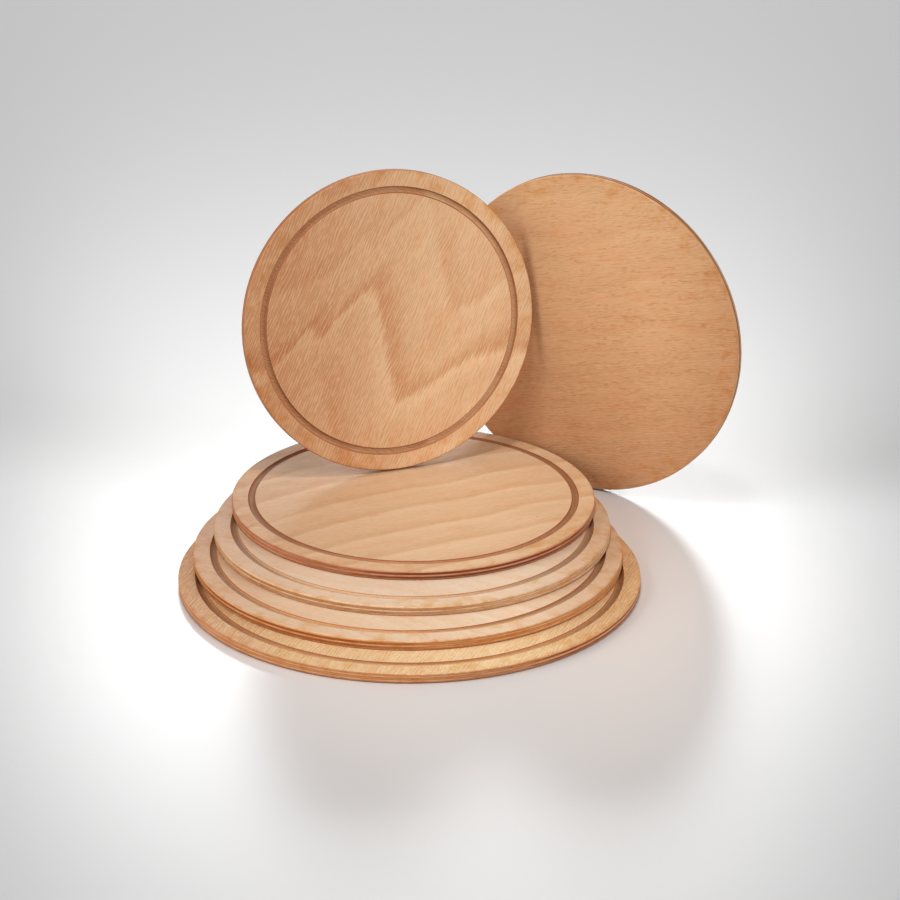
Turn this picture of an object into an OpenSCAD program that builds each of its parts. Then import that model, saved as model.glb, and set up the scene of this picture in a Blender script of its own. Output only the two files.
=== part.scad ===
// Set of round plywood serving boards in sizes one step apart. Four lie in a
// stack, each set back on the one under it. The smallest stands on the top
// board and leans back, with its face to the front. The next size stands on
// the table behind the stack, with its back to the front.
//
// Every board is pressed from five veneers of beech, glued with the grain of
// each across that of the next, and cut round. A juice groove with a round
// bottom is turned into the face. It goes through the face veneer, which it
// parts into a panel and a rim, and into the crossband under it.
//
// Origin: centre of the bottom board's underside. X to the right, Y to the
// back, Z up.

/* [Boards] */
// Diameter of the bottom board of the stack
bottom_d = 320; // [260:5:400]
// Diameter of the second board of the stack
second_d = 300; // [250:5:350]
// Diameter of the third board of the stack
third_d = 280; // [230:5:330]
// Diameter of the top board of the stack
top_d = 260; // [220:5:300]
// Diameter of the board that stands on the table
standing_d = 240; // [200:5:300]
// Diameter of the board that leans back on the top board
leaning_d = 220; // [180:5:260]
// Radius of the round along the upper and lower edge of a board
edge_round = 1; // [0.4:0.1:1.1]

/* [Veneers] */
// Thickness of each of the five veneers of a board
veneer_t = 1.4; // [1.2:0.1:1.8]

/* [Juice groove] */
// Width of the flat rim between a board's edge and its groove
groove_margin = 11.5; // [8:0.5:25]
// Width of the groove at the face
groove_w = 5.2; // [4.2:0.2:8]
// Depth of the groove
groove_depth = 2; // [1.9:0.1:2.1]

/* [Stack] */
// Distance by which the second board's centre lies behind the bottom one's
second_back = 23.5; // [10:0.5:30]
// Distance by which the second board's centre lies to the right of the bottom one's
second_side = -1.5; // [-5:0.5:5]
// Distance by which the third board's centre lies behind the bottom one's
third_back = 51; // [35:1:60]
// Distance by which the third board's centre lies to the right of the bottom one's
third_side = 1; // [-5:0.5:5]
// Distance by which the top board's centre lies behind the bottom one's
top_back = 82; // [65:1:95]
// Distance by which the top board's centre lies to the right of the bottom one's
top_side = 1.5; // [-5:0.5:5]

/* [Leaning board] */
// Distance of the leaning board's centre to the right of the bottom board's
leaning_side = -17; // [-30:1:10]
// Angle by which its face is turned from the front to the right
leaning_turn = 20.5; // [10:0.5:30]
// Angle by which it leans back from the upright
leaning_tilt = 8.5; // [5:0.5:12]

/* [Standing board] */
// Distance of the standing board's centre, along its own plane, from the origin
standing_side = 33; // [20:1:50]
// Angle by which its back is turned from the front to the right
standing_turn = -28.5; // [-40:0.5:-20]
// Angle by which it leans back from the upright
standing_tilt = 1; // [0:0.5:3]

/* [Clearance] */
// Gap at a round edge where it rests on another board or on the table
seat_gap = 0.3; // [0.2:0.05:0.5]

/* [Hidden] */
$fn = 180;
overrun = 1;
veneer_count = 5;
board_t = veneer_count * veneer_t;
groove_arc_r = (pow(groove_w / 2, 2) + pow(groove_depth, 2)) / (2 * groove_depth);

// The boards and their diameters, from the bottom of the stack up
BOARDS = ["bottom_board", "second_board", "third_board", "top_board", "standing_board", "leaning_board"];
DIAMETERS = [bottom_d, second_d, third_d, top_d, standing_d, leaning_d];
STACKED = 4;
STANDING = 4;
LEANING = 5;
PIECES = ["back_veneer", "lower_crossband", "core_veneer", "upper_crossband", "face_panel", "face_rim"];

back_tan = "#c98f5e";
crossband_brown = "#8a5430";
core_pink = "#c79a78";
face_tan = "#d7a97c";

function radius(i) = DIAMETERS[i] / 2;
function groove_r(i) = radius(i) - groove_margin - groove_w / 2;

// Centres of the stacked boards, at half their thickness
stack_place = [[0, 0], [second_side, second_back], [third_side, third_back], [top_side, top_back]];
function stack_centre(i) = [stack_place[i].x, stack_place[i].y, (i + 1 / 2) * board_t];

// Direction in which a leaning board's front side looks
function outward(turn, tilt) = [sin(turn) * cos(tilt), -cos(turn) * cos(tilt), sin(tilt)];

// How far the round edge of board i reaches from its centre along a direction,
// given the cosine of the angle between that direction and the board's axis
function reach(i, c) =
    edge_round + (radius(i) - edge_round) * sqrt(1 - c * c) + (board_t / 2 - edge_round) * abs(c);

// The standing board's front plane lies just clear of the nearest stacked board
standing_out = outward(standing_turn, standing_tilt);
stack_reach = [for (i = [0 : STACKED - 1]) stack_centre(i) * standing_out - reach(i, standing_out.z)];
standing_plane = min(stack_reach) - seat_gap;
standing_z = seat_gap + reach(STANDING, standing_out.z);
standing_depth = (standing_plane - board_t / 2 - standing_z * sin(standing_tilt)) / cos(standing_tilt);
standing_centre = [
    standing_side * cos(standing_turn) + standing_depth * sin(standing_turn),
    standing_side * sin(standing_turn) - standing_depth * cos(standing_turn),
    standing_z
];

// The leaning board stands on the top board, and its edge just clears the
// standing board's plane
leaning_out = outward(leaning_turn, leaning_tilt);
leaning_z = STACKED * board_t + seat_gap + reach(LEANING, leaning_out.z);
leaning_plane = standing_plane + seat_gap + reach(LEANING, leaning_out * standing_out);
leaning_back =
    (leaning_plane - leaning_side * standing_out.x - leaning_z * standing_out.z) / standing_out.y;
leaning_centre = [leaning_side, leaning_back, leaning_z];

// Moves a board, modelled flat about its centre, to its place in the set
module in_place(i) {
    if (i < STACKED)
        translate(stack_centre(i)) children();
    if (i == STANDING)
        translate(standing_centre)
            rotate([90 - standing_tilt, 0, standing_turn]) rotate([0, 180, 0]) children();
    if (i == LEANING)
        translate(leaning_centre) rotate([90 - leaning_tilt, 0, leaning_turn]) children();
}

// What the round along an edge takes off a square corner
module corner_waste() {
    difference() {
        square(edge_round + overrun);
        circle(edge_round);
    }
}

// Half of board i's section: its axis at the left, its edge at the right
module half_section(i) {
    difference() {
        translate([0, -board_t / 2]) square([radius(i), board_t]);
        for (flip = [0, 1])
            mirror([0, flip])
                translate([radius(i) - edge_round, board_t / 2 - edge_round]) corner_waste();
        translate([groove_r(i), board_t / 2 - groove_depth + groove_arc_r]) circle(groove_arc_r);
    }
}

// The part of board i that lies in one layer, counted from its back, between
// two distances from its axis
module veneer(i, layer, inner_r, outer_r) {
    rotate_extrude()
        intersection() {
            half_section(i);
            translate([inner_r, layer * veneer_t - board_t / 2])
                square([outer_r - inner_r, veneer_t]);
        }
}

module back_veneer(i) {
    color(back_tan) veneer(i, 0, 0, radius(i) + overrun);
}

module lower_crossband(i) {
    color(crossband_brown) veneer(i, 1, 0, radius(i) + overrun);
}

module core_veneer(i) {
    color(core_pink) veneer(i, 2, 0, radius(i) + overrun);
}

module upper_crossband(i) {
    color(crossband_brown) veneer(i, 3, 0, radius(i) + overrun);
}

module face_panel(i) {
    color(face_tan) veneer(i, 4, 0, groove_r(i));
}

module face_rim(i) {
    color(face_tan) veneer(i, 4, groove_r(i), radius(i) + overrun);
}

function named(i, piece) = str(BOARDS[i], "_", piece);

for (i = [0 : len(BOARDS) - 1]) {
    in_place(i) back_veneer(i);
    in_place(i) lower_crossband(i);
    in_place(i) core_veneer(i);
    in_place(i) upper_crossband(i);
    in_place(i) face_panel(i);
    in_place(i) face_rim(i);
}
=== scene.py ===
"""Looks of a set of round beech serving boards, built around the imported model."""

import math

import bpy
import numpy as np
from mathutils import Matrix, Vector


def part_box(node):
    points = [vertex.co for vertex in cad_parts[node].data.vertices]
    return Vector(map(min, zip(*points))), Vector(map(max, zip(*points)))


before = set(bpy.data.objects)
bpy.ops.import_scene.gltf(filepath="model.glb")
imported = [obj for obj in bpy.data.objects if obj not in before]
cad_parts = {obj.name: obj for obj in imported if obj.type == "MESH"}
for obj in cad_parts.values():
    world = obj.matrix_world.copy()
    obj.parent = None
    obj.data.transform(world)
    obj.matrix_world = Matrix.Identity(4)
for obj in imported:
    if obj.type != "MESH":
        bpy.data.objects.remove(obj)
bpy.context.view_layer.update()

MM = 0.001
BOARDS = ("bottom_board", "second_board", "third_board", "top_board", "standing_board", "leaning_board")
PIECES = ("back_veneer", "lower_crossband", "core_veneer", "upper_crossband", "face_panel", "face_rim")

# Camera, at the angle and distance from which the set was photographed
CAMERA_PLACE = (0.02745, -1.8518, 0.8662)
CAMERA_DOWN = math.radians(22.556)
CAMERA_ROLL = math.radians(0.33)
CAMERA_LENS = 117.6
SENSOR = 36.0

# Light through wide diffusers, which the glossy floor doesn't mirror: the angles that each comes from, in
# degrees from the front to the right and upwards, its strength and how many degrees wide it is
SUNS = {
    "left": (-70, 24, 2.0, 40),
    "right": (58, 25, 1.55, 30),
    "behind": (180, 66, 0.25, 36),
}
SKY_COLOR = (1.0, 1.0, 1.0, 1.0)
SKY_STRENGTH = 0.22

# Spot lamp in front and above, which makes a pool of light on the set
SPOT_PLACE = (-0.1, -0.4, 1.9)
SPOT_AIM = (0.03, 0.0, 0.0)
SPOT_POWER = 60.0
SPOT_REACH = 0.44
SPOT_SIZE = 0.3

# Low panel of light behind the set. The floor mirrors it as a white pool, which the boards interrupt
PANEL_PLACE = (0.0, 3.0, 1.5)
PANEL_SIZE = (1.35, 0.4)
PANEL_POWER = 13.5
FLOOR_WIDTH = 14.0
FLOOR_COLOR = (0.8, 0.8, 0.8, 1.0)
FLOOR_GLOSS = 0.3
FLOOR_ROUGHNESS = 0.33


def srgb(red, green, blue):
    """A colour given as a screen shows it, 0 to 255, as the linear values that a shader takes."""
    parts = [c / 255 for c in (red, green, blue)]
    return tuple(c / 12.92 if c <= 0.04045 else ((c + 0.055) / 1.055) ** 2.4 for c in parts) + (1.0,)


# Figures of the face veneers: the shape that each year ring repeats, as points in millimetres.
# The leaning board's flames are given across the grain, and the others along it
FLAMES = (
    (-110, 40), (-86, 30), (-67, 12), (-60, -2), (-51, -24), (-37, -44), (-22, -29), (-5, -12), (12, 7),
    (26, 21), (30, 7), (37, -14), (39, -34), (52, -28), (55, -52), (61, -69), (85, -95), (110, -110),
)
ARCS = (
    (-130, -26), (-103, -18), (-75, -10), (-50, -5), (-22, -2), (5, 0), (30, 0), (50, 3), (70, 6),
    (100, 5), (130, 3),
)
WAVES = ((-170, 4), (-110, -3), (-60, 5), (-10, -2), (45, 4), (100, -4), (170, 3))

# Angles are in degrees from the board's own right: grain is that of the fibres, lean is how far the figure
# turns off it and shaded_side is the side towards which painted shade darkens and reddens the face. Light and
# dark are the colours of a face, and long and end those of a cut along the grain and across it. Rings are the
# distance of the year rings and start the place of one of them, in millimetres. The rest are shares from 0 to
# 1, such as redness, of that painted shade, sides, of the painted shade towards the left and right, and
# under, of the painted contact shadow along the lower edge.
# Band and core say how dark the end grain is, in the crossbands and in the core and the face
LOOKS = {
    "bottom_board": {
        "seed": 3.1, "grain": 70.0, "lean": 0.0, "shaded_side": 170.0, "redness": 0.6, "sides": 0.75,
        "light": srgb(244, 216, 172), "dark": srgb(222, 180, 132),
        "rings": 30.0, "start": 0.0, "figure": WAVES, "contrast": 0.3, "streaks": 0.8, "rays": 0.5,
        "long": srgb(226, 162, 110), "end": srgb(140, 76, 42), "band": 0.95, "core": 0.4, "groove": 0.75,
        "under": 0.9,
    },
    "second_board": {
        "seed": 7.7, "grain": -36.0, "lean": 0.0, "shaded_side": 180.0, "redness": 0.45, "sides": 0.7,
        "light": srgb(238, 217, 192), "dark": srgb(219, 182, 145),
        "rings": 26.0, "start": 0.0, "figure": WAVES, "contrast": 0.25, "streaks": 0.4, "rays": 0.25,
        "long": srgb(226, 166, 112), "end": srgb(150, 84, 46), "band": 0.9, "core": 0.4, "groove": 0.75,
        "under": 0.7,
    },
    "third_board": {
        "seed": 12.3, "grain": -23.0, "lean": 0.0, "shaded_side": 190.0, "redness": 0.35, "sides": 0.7,
        "light": srgb(232, 213, 192), "dark": srgb(219, 187, 155),
        "rings": 28.0, "start": 0.0, "figure": WAVES, "contrast": 0.25, "streaks": 0.4, "rays": 0.25,
        "long": srgb(232, 192, 152), "end": srgb(160, 108, 74), "band": 0.7, "core": 0.4, "groove": 0.7,
        "under": 0.6,
    },
    "top_board": {
        "seed": 17.9, "grain": 22.0, "lean": 0.0, "shaded_side": 165.0, "redness": 0.5, "sides": 0.2,
        "light": srgb(220, 189, 155), "dark": srgb(200, 158, 119),
        "rings": 32.3, "start": 14.0, "figure": ARCS, "contrast": 0.6, "streaks": 0.35, "rays": 0.2,
        "long": srgb(208, 144, 106), "end": srgb(108, 52, 34), "band": 0.95, "core": 0.4, "groove": 1.0,
        "under": 0.6,
    },
    "standing_board": {
        "seed": 23.3, "grain": -13.0, "lean": 0.0, "shaded_side": -70.0, "redness": 0.75, "sides": 0.5,
        "light": srgb(234, 188, 142), "dark": srgb(218, 164, 118),
        "rings": 36.0, "start": 0.0, "figure": WAVES, "contrast": 0.25, "streaks": 0.3, "rays": 0.7,
        # The standing board's dark end grain and core are partly its own colour and partly painted shade on
        # the edge turned from the light
        "long": srgb(224, 170, 120), "end": srgb(96, 56, 38), "band": 1.0, "core": 0.9, "groove": 0.6,
        "under": 0.0,
    },
    "leaning_board": {
        "seed": 31.7, "grain": 63.0, "lean": -9.0, "shaded_side": 175.0, "redness": 1.0, "sides": 0.0,
        "light": srgb(248, 212, 170), "dark": srgb(216, 158, 112),
        "rings": 77.0, "start": 0.0, "figure": FLAMES, "contrast": 0.72, "streaks": 0.75, "rays": 0.0,
        "long": srgb(204, 142, 98), "end": srgb(144, 88, 58), "band": 0.8, "core": 0.4, "groove": 0.65,
        "under": 0.0,
    },
}

# How dark the end grain of the back veneers is, and how far the darkness of a cut moves the seed of its
# noises, so that veneers of different darkness have different marks
BACK_DARKNESS = 0.1
SEED_STEP = 40

# How far a seed moves a noise along each axis, as shares of the seed
SEED_SHIFT = (1.0, 1.7, 0.6)

# How upright the axis of a board is at least, if the board lies flat
LYING_AXIS = 0.9

# Year rings: the parts of a ring in which it grows lighter, each with its start, its end and its share,
# and where the ring's border begins
RING_RISES = ((0.0, 0.35, 0.55), (0.55, 0.95, 0.45))
RING_BORDER = 0.87

# Rings from the middle one, at which the other flames begin to be fainter and are faintest, and how strong
# they are then
FAINT_RINGS = (0.4, 0.9)
FAINT_SHARE = 0.4

# Where the painted shade on one side begins and where it's whole, and where the painted shade towards the
# left and right begins, in radii
SIDE_SHADE_SPAN = (-0.7, 0.9)
FALLOFF_SHADE_START = 0.4

# Noises of the wood: what each adds to the board's seed, the size of its patches in millimetres along the
# grain, across it and through the veneer, its detail and its roughness
NOISES = {
    "ring drift": (0, (80, 60, 40), 1.0, 0.5),
    "flame feather": (1, (14, 1.2, 4), 3.0, 0.6),
    "ring feather": (1, (24, 3, 4), 3.0, 0.6),
    "cloud": (2, (60, 22, 30), 3.0, 0.55),
    "blush": (3, (24, 8, 20), 3.0, 0.6),
    "stroke": (4, (5, 0.8, 3), 1.0, 0.5),
    "thread": (5, (26, 0.5, 3), 2.0, 0.6),
    "ripple": (6, (20, 12, 9), 0.0, 0.5),
    "ray": (7, (4.2, 0.5, 2), 0.0, 0.5),
    "cut drift": (8, (26, 26, 26), 2.0, 0.5),
    "cut streak": (9, (8, 8, 0.3), 3.0, 0.6),
    "pores": (10, (1.3, 1.3, 0.5), 2.0, 0.6),
    "stain": (11, (13, 13, 6), 3.0, 0.6),
    "gloss": (12, (18, 2.5, 6), 3.0, 0.6),
    "wander": (13, (24, 6, 5), 0.0, 0.5),
    "ray rows": (14, (26, 1.8, 5), 1.0, 0.5),
}

# How far a noise moves or bends what it disturbs, in millimetres
SWINGS = {
    "flame drift": 5.0,
    "flame feather": 24.0,
    "ring drift": 8.0,
    "ring feather": 5.0,
    "painted side shade": 60.0,
    "ripple": 8.0,
}

# The same in shares: of the way from a face's dark colour to its light one, and from long grain to end grain
CLOUD_SWING = 0.8
CUT_SWING = 0.6

# Hatching of a face: the distance of its lines in millimetres, how far they wander, in radians, and the
# height of their wave
HATCH_PITCH = 1.9
HATCH_SWING = 14.0
HATCH_HEIGHT = 0.25

# Distance of the spots that may be a nick, in millimetres, and the value over which a spot is one
NICK_SPACING = (11, 11, 11)
NICK_RARITY = 0.9

# How squarely a cut has to cross the grain, in shares, to begin to look like end grain and to be it all
CUT_RANGE = (0.1, 0.9)

# The value of its noise or pattern at which a mark begins, the one at which it's whole, and its strength
# there. For a nick and for glue the value is the distance from the middle of the mark
MARKS = {
    "warm blush": (0.5, 0.75, 1.0),
    "cool blush": (0.5, 0.25, 1.0),
    "stroke": (0.3, 0.7, 0.5),
    "streak": (0.45, 0.85, 1.0),
    "pale streak": (0.45, 0.1, 0.3),
    "thread": (0.45, 0.75, 0.5),
    "ray": (0.5, 0.66, 1.0),
    "ray rows": (0.36, 0.6, 1.0),
    "cut streak": (0.45, 0.75, 1.0),
    "pale cut": (0.45, 0.2, 0.35),
    "pores": (0.54, 0.7, 0.8),
    "worn edge": (0.35, 0.7, 1.0),
    "stained rim": (0.46, 0.7, 1.0),
    "nick": (0.07, 0.03, 0.6),
    "glue": (0.16, 0.03, 1.0),
}

# What each mark multiplies a colour by: shares of red, green and blue
TINTS = {
    # Painted shade on one side of a face
    "painted side shade": (0.7, 0.56, 0.48),
    # Painted shade towards a board's left and right
    "outer": (0.66, 0.5, 0.4),
    "warm blush": (1.0, 0.9, 0.82),
    "cool blush": (0.96, 1.0, 0.98),
    "streak": (0.84, 0.78, 0.72),
    "thread": (0.93, 0.88, 0.83),
    "ray": (0.8, 0.7, 0.6),
    "cut streak": (0.82, 0.7, 0.6),
    "pores": (0.7, 0.6, 0.52),
    "glue": (0.45, 0.3, 0.22),
    "worn edge": (0.93, 0.84, 0.72),
    "stained rim": (0.93, 0.8, 0.6),
    "nick": (0.45, 0.3, 0.2),
    # Darker wood in the groove, with painted shade in the recess
    "groove": (0.82, 0.73, 0.64),
    # Painted shade in the groove towards a board's left and right
    "groove at the sides": (0.4, 0.28, 0.2),
    "groove's inner arris": (0.6, 0.48, 0.4),
    # Painted contact shadow along a board's lower edge
    "under": (0.35, 0.24, 0.18),
    # Darker bed of the groove, with painted shade in the recess
    "groove's bed": (0.62, 0.5, 0.4),
    # Painted shade on the groove's bed towards a board's left and right
    "groove's bed at the sides": (0.6, 0.48, 0.4),
}

# Colours of the pale marks, on a face and on a cut edge
PALE_STREAK = srgb(248, 216, 176)
PALE_CUT = srgb(238, 190, 150)

# Distances in from the board's edge, in millimetres, between which a mark comes or goes
DEPTHS_IN = {
    "groove": (10.0, 9.0),
    "groove's inner half": (15.0, 13.5),
    "outer edge": (9.0, 8.0),
    "stained rim": (16.0, 10.0),
    "worn edge": (4.0, 0.4),
}

# Heights over the middle of the board, in veneers, between which a mark comes or goes
LAYERS = {
    "outermost veneer": (1.9, 2.1),
    "face arris": (1.9, 2.4),
    # Painted contact shadow along the lower edge
    "under": (-2.1, -1.4),
}

# How far the normal points out of the face where a surface begins to look like one, and where it does
# altogether: on the faces, and on the crossband that shows in the groove's bed
FACE_SLOPE = (0.72, 0.95)
BED_SLOPE = (0.3, 0.9)

# Strength of the glue lines in the groove and at the edge, and of the arris in the groove's outer half
GLUE_IN_GROOVE = 0.2
GLUE_AT_EDGE = 0.75
ARRIS_OUTSIDE = 0.3

# Relief of the surface: what each mark adds to it, the height of the whole and how strongly it shows
RELIEF = {"streak": 0.5, "ray": -0.35, "thread": 0.4, "cut streak": 0.5, "pores": -0.5}
BUMP_HEIGHT = 0.25 * MM
BUMP_STRENGTH = 0.35

# Gloss: the values of its noise between which the roughness changes, the roughness at both, and how
# strongly the wood mirrors
GLOSS_RANGE = (0.3, 0.7)
ROUGHNESS = (0.42, 0.56)
SPECULAR = 0.4


class Board:
    """Centre, axes and sizes of one board at rest: X to its own right, Z out of its grooved face.

    The centre is in metres, as the frame is, and the sizes are in millimetres.
    """

    def __init__(self, name):
        self.name = name
        self.look = LOOKS[name]
        lows, highs = zip(*(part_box(f"{name}_{piece}") for piece in PIECES))
        low = Vector([min(c) for c in zip(*lows)])
        high = Vector([max(c) for c in zip(*highs)])
        self.centre = (low + high) / 2
        self.axis = self.thin_direction()
        lying = abs(self.axis.z) > LYING_AXIS
        up = Vector((0, 1, 0)) if lying else Vector((0, 0, 1))
        self.right = up.cross(self.axis).normalized()
        core = self.places("core_veneer")
        self.radius = max(math.hypot(p.x, p.y) for p in core) / MM
        depths = [p.z for p in core]
        self.veneer = (max(depths) - min(depths)) / MM

    def thin_direction(self):
        """Direction through the board's thickness, from its back to its face."""
        points = np.array([v.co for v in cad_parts[f"{self.name}_core_veneer"].data.vertices])
        thin = Vector(np.linalg.svd(points - points.mean(0), full_matrices=False)[2][2])
        middles = [sum(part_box(f"{self.name}_{piece}"), Vector()) for piece in ("face_panel", "back_veneer")]
        return thin if thin.dot(middles[0] - middles[1]) > 0 else -thin

    def axes(self):
        return Matrix((self.right, self.axis.cross(self.right), self.axis)).transposed()

    def sideways(self, grain):
        """The board's own right, in the axes of a veneer with that grain."""
        return math.cos(math.radians(grain)), -math.sin(math.radians(grain)), 0.0

    def places(self, piece):
        """Points of a piece in the board's own axes, in metres."""
        inward = self.axes().transposed()
        return [inward @ (v.co - self.centre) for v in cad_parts[f"{self.name}_{piece}"].data.vertices]


class Wiring:
    """Adds nodes to one shader tree and joins them."""

    def __init__(self, tree):
        self.tree = tree

    def node(self, kind, inputs=None, **settings):
        made = self.tree.nodes.new(kind)
        for name, value in settings.items():
            setattr(made, name, value)
        for socket, value in (inputs or {}).items():
            self.join(value, made.inputs[socket])
        return made

    def join(self, value, socket):
        if isinstance(value, bpy.types.NodeSocket):
            self.tree.links.new(value, socket)
        else:
            socket.default_value = value

    def math(self, operation, *values):
        return self.node("ShaderNodeMath", dict(enumerate(values)), operation=operation).outputs[0]

    def scaled(self, value, factor, offset=0.0):
        return self.math("MULTIPLY_ADD", value, factor, offset)

    def centred(self, value, width):
        """A value from 0 to 1, stretched to a width around 0."""
        return self.scaled(value, width, -width / 2)

    def vector(self, operation, *values):
        made = self.node("ShaderNodeVectorMath", dict(enumerate(values)), operation=operation)
        return made.outputs["Value" if operation in ("LENGTH", "DOT_PRODUCT") else "Vector"]

    def step(self, value, low, high, to_low=0.0, to_high=1.0, kind="SMOOTHSTEP"):
        """to_low below low, to_high above high, and a smooth change between them."""
        inputs = {"Value": value, "From Min": low, "From Max": high, "To Min": to_low, "To Max": to_high}
        return self.node("ShaderNodeMapRange", inputs, interpolation_type=kind).outputs["Result"]

    def mix(self, share, first, second, blend="MIX"):
        """Two colours mixed, through the sockets that the node keeps for colours."""
        inputs = {0: share, 6: first, 7: second}
        return self.node("ShaderNodeMix", inputs, data_type="RGBA", blend_type=blend).outputs[2]

    def mark(self, name, value, strength=1.0):
        """How strong a mark is where its noise or pattern has that value."""
        start, whole, share = MARKS[name]
        return self.step(value, start, whole, 0.0, share * strength)

    def tint(self, share, color, name):
        """The colour under a mark that has that share of its full strength."""
        return self.mix(share, color, (*TINTS[name], 1.0), "MULTIPLY")

    def relief(self, values):
        """Height of the surface from the marks on it."""
        height = 0.0
        for name, value in values.items():
            height = self.scaled(value, RELIEF[name], height)
        return height

    def split(self, vector):
        return self.node("ShaderNodeSeparateXYZ", {"Vector": vector}).outputs

    def joined(self, x, y, z):
        return self.node("ShaderNodeCombineXYZ", {"X": x, "Y": y, "Z": z}).outputs["Vector"]

    def stretched(self, place, size, seed):
        """The place divided by a size in millimetres along each axis, and moved by a seed."""
        shares = tuple(1 / s for s in size)
        shift = tuple(seed * s for s in SEED_SHIFT)
        return self.vector("MULTIPLY_ADD", place, shares, shift)

    def noise(self, place, name, seed):
        offset, size, detail, roughness = NOISES[name]
        inputs = {"Vector": self.stretched(place, size, seed + offset), "Scale": 1.0, "Detail": detail,
                  "Roughness": roughness}
        return self.node("ShaderNodeTexNoise", inputs).outputs["Fac"]

    def curve(self, value, points, handle="VECTOR"):
        """A line through points, each a place and a height."""
        places, heights = zip(*points)
        low, high = min(heights), max(heights)
        along = self.step(value, places[0], places[-1], kind="LINEAR")
        made = self.node("ShaderNodeFloatCurve", {"Value": along})
        line = made.mapping.curves[0]
        spots = [((x - places[0]) / (places[-1] - places[0]), (y - low) / (high - low)) for x, y in points]
        line.points[0].location = spots[0]
        line.points[-1].location = spots[-1]
        for spot in spots[1:-1]:
            line.points.new(*spot)
        for point in line.points:
            point.handle_type = handle
        made.mapping.update()
        return self.scaled(made.outputs["Value"], high - low, low)


def veneer_place(w, board, grain):
    """Place and normal in a veneer's own axes, in millimetres: X along its grain, Z out of the face."""
    turned = board.axes() @ Matrix.Rotation(math.radians(grain), 3, "Z")
    source = w.node("ShaderNodeTexCoord")
    place = w.node("ShaderNodeMapping", {
        "Vector": source.outputs["Object"], "Location": board.centre,
        "Rotation": turned.to_euler("XYZ"), "Scale": (MM, MM, MM)}, vector_type="TEXTURE")
    normal = w.node("ShaderNodeMapping", {
        "Vector": source.outputs["Normal"], "Rotation": turned.transposed().to_euler("XYZ")},
        vector_type="VECTOR")
    return place.outputs["Vector"], normal.outputs["Vector"]


def radius_at(w, place):
    return w.vector("LENGTH", w.vector("MULTIPLY", place, (1, 1, 0)))


def from_edge(w, place, board, name, inner=0.0, outer=1.0):
    """A change between the two distances of a mark from the board's edge."""
    start, end = DEPTHS_IN[name]
    return w.step(radius_at(w, place), board.radius - start, board.radius - end, inner, outer)


def between_layers(w, height, board, name, lower=0.0, upper=1.0):
    """A change between the two heights of a mark over the middle of the board."""
    start, end = LAYERS[name]
    return w.step(height, start * board.veneer, end * board.veneer, lower, upper)


def side_falloff_shade(w, place, board, grain):
    """How much painted shade darkens the board at a place towards its left or right, standing in for the
    light falling off there.
    """
    sideways = w.vector("DOT_PRODUCT", place, board.sideways(grain))
    start = FALLOFF_SHADE_START * board.radius
    return w.step(w.math("ABSOLUTE", sideways), start, board.radius, 0.0, board.look["sides"])


def ring_tone(w, place, look):
    """Year rings of a face: each starts dark and fades lighter up to the next."""
    seed = look["seed"]
    flames = look["figure"] is FLAMES
    lean = (0.0, 0.0, math.radians(look["lean"]))
    turned = w.node("ShaderNodeMapping", {"Vector": place, "Rotation": lean}, vector_type="TEXTURE")
    along, across, _ = w.split(turned.outputs["Vector"])
    if flames:
        kind = "flame"
        height = w.math("SUBTRACT", along, w.curve(across, look["figure"]))
    else:
        kind = "ring"
        height = w.math("SUBTRACT", across, w.curve(along, look["figure"], "AUTO"))
    feather = w.centred(w.noise(place, f"{kind} feather", seed), SWINGS[f"{kind} feather"])
    drift = w.centred(w.noise(place, "ring drift", seed), SWINGS[f"{kind} drift"])
    height = w.math("ADD", w.math("ADD", height, drift), feather)
    count = w.scaled(height, 1 / look["rings"], -look["start"] / look["rings"])
    ring = w.math("FRACT", count)
    rise = w.math("ADD", *(w.step(ring, start, end, 0.0, share) for start, end, share in RING_RISES))
    border = w.step(ring, RING_BORDER, 1.0, 1.0, 0.0)
    tone = w.centred(w.math("MULTIPLY", rise, border), 1.0)
    strength = w.step(w.math("ABSOLUTE", count), *FAINT_RINGS, 1.0, FAINT_SHARE if flames else 1.0)
    return w.math("MULTIPLY", tone, strength)


def face_base(w, place, board, grain):
    """Colour of a face from its rings and its blushes, with painted shade on one side and towards the left
    and right.
    """
    look = board.look
    seed = look["seed"]
    tone = w.scaled(ring_tone(w, place, look), look["contrast"], 0.5)
    cloud = w.noise(place, "cloud", seed)
    tone = w.math("ADD", tone, w.centred(cloud, CLOUD_SWING))
    color = w.mix(w.step(tone, 0.0, 1.0, kind="LINEAR"), look["dark"], look["light"])

    # Painted shade: the face darkens and reddens towards one side, standing in for light falling off there
    turn = math.radians(look["shaded_side"] - grain)
    toward = w.vector("DOT_PRODUCT", place, (math.cos(turn), math.sin(turn), 0.0))
    toward = w.math("ADD", toward, w.centred(cloud, SWINGS["painted side shade"]))
    start, whole = (share * board.radius for share in SIDE_SHADE_SPAN)
    shaded_side = w.step(toward, start, whole, 0.0, look["redness"])
    color = w.tint(shaded_side, color, "painted side shade")
    # Painted shade towards the board's left and right
    color = w.tint(side_falloff_shade(w, place, board, grain), color, "outer")

    blush = w.noise(place, "blush", seed)
    color = w.tint(w.mark("warm blush", blush), color, "warm blush")
    return w.tint(w.mark("cool blush", blush), color, "cool blush")


def face_streaks(w, place, look):
    """Short slanting strokes between finely hatched lines."""
    _, across, _ = w.split(place)
    wander = w.centred(w.noise(place, "wander", look["seed"]), HATCH_SWING)
    line = w.math("SINE", w.math("ADD", w.scaled(across, 2 * math.pi / HATCH_PITCH), wander))
    stroke = w.mark("stroke", w.noise(place, "stroke", look["seed"]))
    return w.math("ADD", w.scaled(line, HATCH_HEIGHT, HATCH_HEIGHT), stroke)


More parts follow.
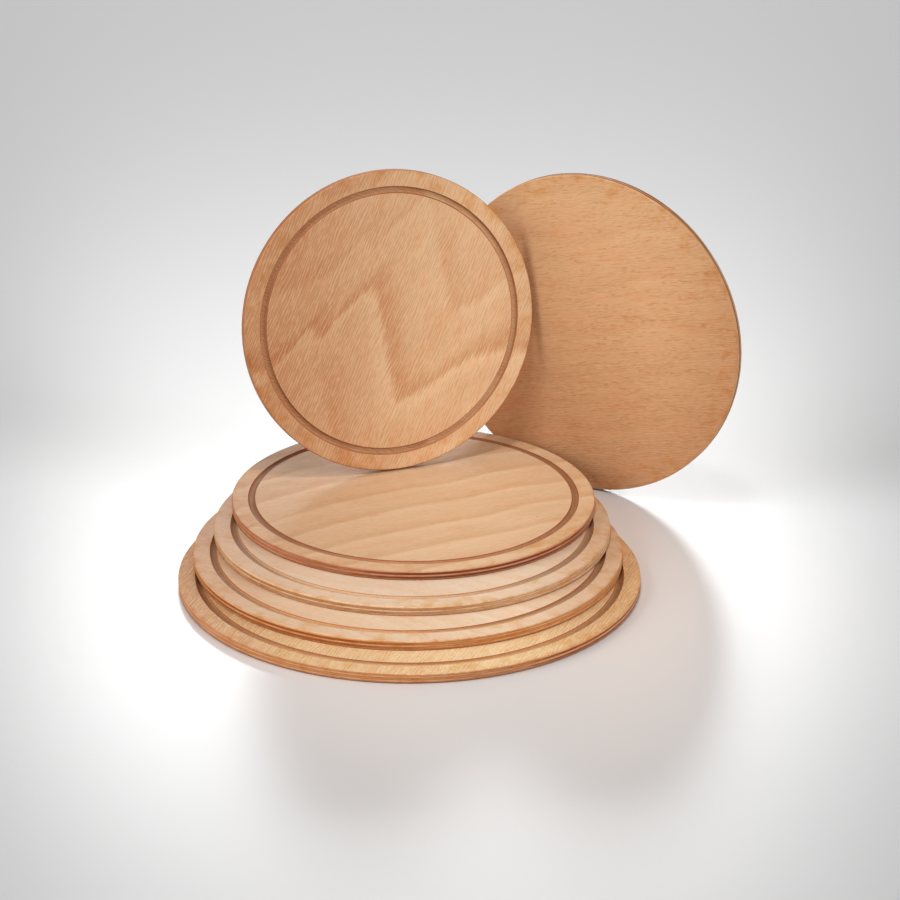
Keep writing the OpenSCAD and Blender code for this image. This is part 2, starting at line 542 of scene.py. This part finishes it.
def face_rays(w, place, look):
    """Ray flecks: small dark dashes in rippling rows."""
    along, across, depth = w.split(place)
    ripple = w.centred(w.noise(place, "ripple", look["seed"]), SWINGS["ripple"])
    wavy = w.joined(along, w.math("ADD", across, ripple), depth)
    row = w.mark("ray rows", w.noise(wavy, "ray rows", look["seed"]))
    ray = w.mark("ray", w.noise(wavy, "ray", look["seed"]), look["rays"])
    return w.math("MULTIPLY", ray, row)


def face_wood(w, place, board, grain):
    """Colour and height of the sanded face of a veneer."""
    look = board.look
    color = face_base(w, place, board, grain)
    streak = face_streaks(w, place, look)
    color = w.tint(w.mark("streak", streak, look["streaks"]), color, "streak")
    color = w.mix(w.mark("pale streak", streak, look["streaks"]), color, PALE_STREAK)
    thread = w.noise(place, "thread", look["seed"])
    color = w.tint(w.mark("thread", thread), color, "thread")
    ray = face_rays(w, place, look)
    color = w.tint(ray, color, "ray")
    return color, w.relief({"streak": streak, "ray": ray, "thread": thread})


def cut_wood(w, place, board, darkness):
    """Colour and height of a veneer cut across its layers: light along its grain, dark across it."""
    look = board.look
    seed = look["seed"] + SEED_STEP * darkness
    along, _, _ = w.split(place)
    facing = w.math("POWER", w.math("DIVIDE", along, radius_at(w, place)), 2.0)
    share = w.math("ADD", facing, w.centred(w.noise(place, "cut drift", seed), CUT_SWING))
    color = w.mix(w.step(share, *CUT_RANGE, 0.0, darkness), look["long"], look["end"])
    streak = w.noise(place, "cut streak", seed)
    color = w.tint(w.mark("cut streak", streak), color, "cut streak")
    color = w.mix(w.mark("pale cut", streak), color, PALE_CUT)
    pores = w.noise(place, "pores", seed)
    color = w.tint(w.mark("pores", pores), color, "pores")
    return color, w.relief({"cut streak": streak, "pores": pores})


def glue_lines(w, color, place, board):
    """Thin dark lines where one veneer is glued to the next, weaker in the groove."""
    _, _, height = w.split(place)
    layer = w.scaled(height, 1 / board.veneer, 0.5)
    away = w.math("ABSOLUTE", w.math("SUBTRACT", layer, w.math("ROUND", layer)))
    inside = between_layers(w, w.math("ABSOLUTE", height), board, "outermost veneer", 1.0, 0.0)
    strength = from_edge(w, place, board, "outer edge", GLUE_IN_GROOVE, GLUE_AT_EDGE)
    line = w.math("MULTIPLY", w.math("MULTIPLY", w.mark("glue", away), strength), inside)
    return w.tint(line, color, "glue")


def turned_edge(w, color, place, board, grain):
    """The cut's colour with its darker places: the groove, partly darker wood and partly painted shade, its
    inner arris, and painted contact shadow along the board's lower edge.
    """
    look = board.look
    _, _, height = w.split(place)
    # Darker in the groove: partly the cut wood's own tone, partly painted shade in the recess
    groove = from_edge(w, place, board, "groove", look["groove"], 0.0)
    color = w.tint(groove, color, "groove")
    # Painted shade in the groove, deeper towards the left and right
    sides = w.math("MULTIPLY", groove, side_falloff_shade(w, place, board, grain))
    color = w.tint(sides, color, "groove at the sides")
    # Painted contact shadow along the lower arris, where a board sits on the one below
    under = between_layers(w, height, board, "under", look["under"], 0.0)
    color = w.tint(under, color, "under")
    arris = between_layers(w, height, board, "face arris")
    inner = from_edge(w, place, board, "groove's inner half", 1.0, ARRIS_OUTSIDE)
    arris = w.math("MULTIPLY", groove, w.math("MULTIPLY", arris, inner))
    return w.tint(arris, color, "groove's inner arris")


def wear(w, color, place, board):
    """Oil and handling stain the rim here and there, most at its edge, with a few small nicks."""
    seed = board.look["seed"]
    patch = w.noise(place, "stain", seed)
    edge = from_edge(w, place, board, "worn edge")
    color = w.tint(w.math("MULTIPLY", edge, w.mark("worn edge", patch)), color, "worn edge")
    rim = from_edge(w, place, board, "stained rim")
    color = w.tint(w.math("MULTIPLY", rim, w.mark("stained rim", patch)), color, "stained rim")
    spots = w.node("ShaderNodeTexVoronoi", {
        "Vector": w.stretched(place, NICK_SPACING, seed), "Scale": 1.0, "Randomness": 1.0})
    rare = w.math("GREATER_THAN", w.split(spots.outputs["Color"])[0], NICK_RARITY)
    nick = w.math("MULTIPLY", w.mark("nick", spots.outputs["Distance"]), rare)
    return w.tint(nick, color, "nick")


def end_grain(look, piece):
    """How dark the end grain of a piece is: most in the crossbands and least in the back."""
    if piece == "back_veneer":
        return BACK_DARKNESS
    return look["band" if "crossband" in piece else "core"]


def wood_material(board, piece):
    """Beech veneer: its sanded face where that shows, and its cut edge round the rim and in the groove."""
    crosswise = "crossband" in piece
    look = board.look
    material = bpy.data.materials.new(f"{board.name}_{piece}")
    material.use_nodes = True
    material.node_tree.nodes.clear()
    w = Wiring(material.node_tree)
    grain = look["grain"] + (90 if crosswise else 0)
    place, normal = veneer_place(w, board, grain)
    slope = w.math("ABSOLUTE", w.split(normal)[2])
    flat = w.step(slope, *(BED_SLOPE if crosswise else FACE_SLOPE))
    cut, cut_height = cut_wood(w, place, board, end_grain(look, piece))
    cut = glue_lines(w, turned_edge(w, cut, place, board, grain), place, board)
    face, face_height = face_wood(w, place, board, grain)
    if crosswise:
        # The groove's bed: partly its own darker tone, partly painted shade in the recess
        face = w.tint(look["groove"], face, "groove's bed")
        # Painted shade on the groove's bed towards the left and right
        face = w.tint(side_falloff_shade(w, place, board, grain), face, "groove's bed at the sides")
    color = wear(w, w.mix(flat, cut, face), place, board)
    height = w.math("ADD", w.math("MULTIPLY", face_height, flat),
                    w.math("MULTIPLY", cut_height, w.math("SUBTRACT", 1.0, flat)))
    bump = w.node("ShaderNodeBump", {
        "Height": height, "Strength": BUMP_STRENGTH, "Distance": BUMP_HEIGHT})
    gloss = w.noise(place, "gloss", look["seed"])
    shader = w.node("ShaderNodeBsdfPrincipled", {
        "Base Color": color, "Roughness": w.step(gloss, *GLOSS_RANGE, *ROUGHNESS, "LINEAR"),
        "Normal": bump.outputs["Normal"], "Specular IOR Level": SPECULAR})
    out = w.node("ShaderNodeOutputMaterial")
    w.join(shader.outputs["BSDF"], out.inputs["Surface"])
    return material


def dress_boards():
    for name in BOARDS:
        board = Board(name)
        for piece in PIECES:
            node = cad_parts[f"{name}_{piece}"]
            node.data.materials.clear()
            node.data.materials.append(wood_material(board, piece))


def lamp(name, kind, direction, place=(0, 0, 0)):
    """A lamp that shines along a direction."""
    made = bpy.data.lights.new(name, kind)
    holder = bpy.data.objects.new(name, made)
    bpy.context.scene.collection.objects.link(holder)
    holder.location = place
    holder.rotation_euler = direction.to_track_quat("-Z", "Y").to_euler()
    return holder


def sky():
    world = bpy.data.worlds.new("studio")
    world.use_nodes = True
    background = world.node_tree.nodes["Background"]
    background.inputs["Color"].default_value = SKY_COLOR
    background.inputs["Strength"].default_value = SKY_STRENGTH
    bpy.context.scene.world = world


def lamps():
    for name, (azimuth, elevation, strength, width) in SUNS.items():
        turn, rise = math.radians(azimuth), math.radians(elevation)
        source = Vector((math.sin(turn) * math.cos(rise), -math.cos(turn) * math.cos(rise), math.sin(rise)))
        sun = lamp(name, "SUN", -source)
        sun.visible_glossy = False
        sun.data.energy = strength
        sun.data.angle = math.radians(width)

    beam = Vector(SPOT_AIM) - Vector(SPOT_PLACE)
    spot = lamp("spot", "SPOT", beam, SPOT_PLACE).data
    spot.energy = SPOT_POWER
    spot.shadow_soft_size = SPOT_SIZE / 2
    spot.spot_size = 2 * math.atan(SPOT_REACH / beam.length)
    spot.spot_blend = 1.0

    panel = lamp("panel", "AREA", -Vector(PANEL_PLACE), PANEL_PLACE).data
    panel.shape = "RECTANGLE"
    panel.size, panel.size_y = PANEL_SIZE
    panel.energy = PANEL_POWER


def table_top():
    """A wide, pale and glossy floor, on which the set stands."""
    bpy.ops.mesh.primitive_plane_add(size=FLOOR_WIDTH, location=(0, 0, 0))
    floor = bpy.context.object
    floor.name = "floor"
    paint = bpy.data.materials.new("floor")
    paint.use_nodes = True
    shader = paint.node_tree.nodes["Principled BSDF"]
    shader.inputs["Base Color"].default_value = FLOOR_COLOR
    shader.inputs["Metallic"].default_value = FLOOR_GLOSS
    shader.inputs["Roughness"].default_value = FLOOR_ROUGHNESS
    floor.data.materials.append(paint)


def camera():
    lens = bpy.data.cameras.new("camera")
    lens.lens = CAMERA_LENS
    lens.sensor_width = SENSOR
    holder = bpy.data.objects.new("camera", lens)
    bpy.context.scene.collection.objects.link(holder)
    tilt = Matrix.Rotation(math.pi / 2 - CAMERA_DOWN, 4, "X") @ Matrix.Rotation(CAMERA_ROLL, 4, "Z")
    holder.matrix_world = Matrix.Translation(CAMERA_PLACE) @ tilt
    bpy.context.scene.camera = holder


bpy.context.scene.view_settings.view_transform = "Standard"
camera()
sky()
lamps()
table_top()
dress_boards()
